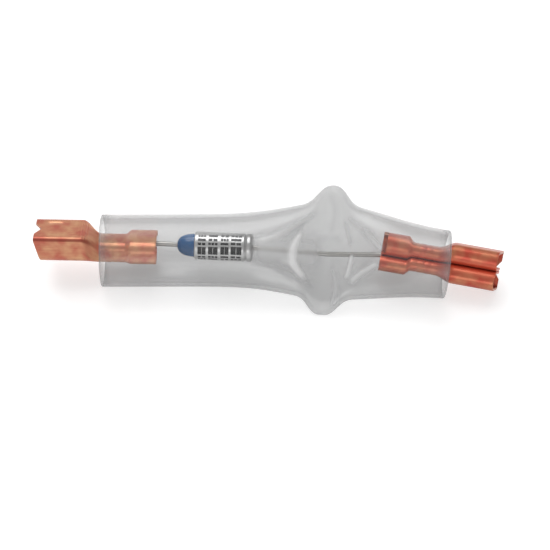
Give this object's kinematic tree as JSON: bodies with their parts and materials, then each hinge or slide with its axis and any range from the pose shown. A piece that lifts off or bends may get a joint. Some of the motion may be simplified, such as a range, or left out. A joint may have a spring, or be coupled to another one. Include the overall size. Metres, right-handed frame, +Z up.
{
  "type": "thermal fuse",
  "caption": "Axial pellet thermal fuse with a push-on terminal on each lead, in a clear soft sleeve that has been folded once.",
  "frame": {"origin": "on the table, below the middle of the whole part's box", "axes": "+X along the sleeve from the cutoff's sealed end to its closed end, +Y to the ear of the fold that stands off the table, +Z up from the table"},
  "size_m": [0.067, 0.0158, 0.0105],
  "materials": {
    "clear_vinyl": "clear, slightly milky, soft",
    "copper": "bare copper sheet, satin",
    "tinned_wire": "tinned, dull",
    "silver_plate": "silver plated, polished",
    "blue_epoxy": "cast epoxy, glossy",
    "ceramic": "fired ceramic",
    "spring_steel": "drawn wire",
    "pellet": "pressed organic powder"
  },
  "bodies": {
    "root": {"insulating_sleeve": "clear_vinyl", "left_terminal": "copper", "right_terminal": "copper", "isolated_lead": "tinned_wire", "case_lead": "tinned_wire", "fuse_case": "silver_plate", "epoxy_seal": "blue_epoxy", "ceramic_bushing": "ceramic", "star_contact": "silver_plate", "trip_spring": "spring_steel", "contact_disc": "spring_steel", "main_spring": "spring_steel", "pellet_disc": "spring_steel", "thermal_pellet": "pellet"}
  },
  "joints": []
}
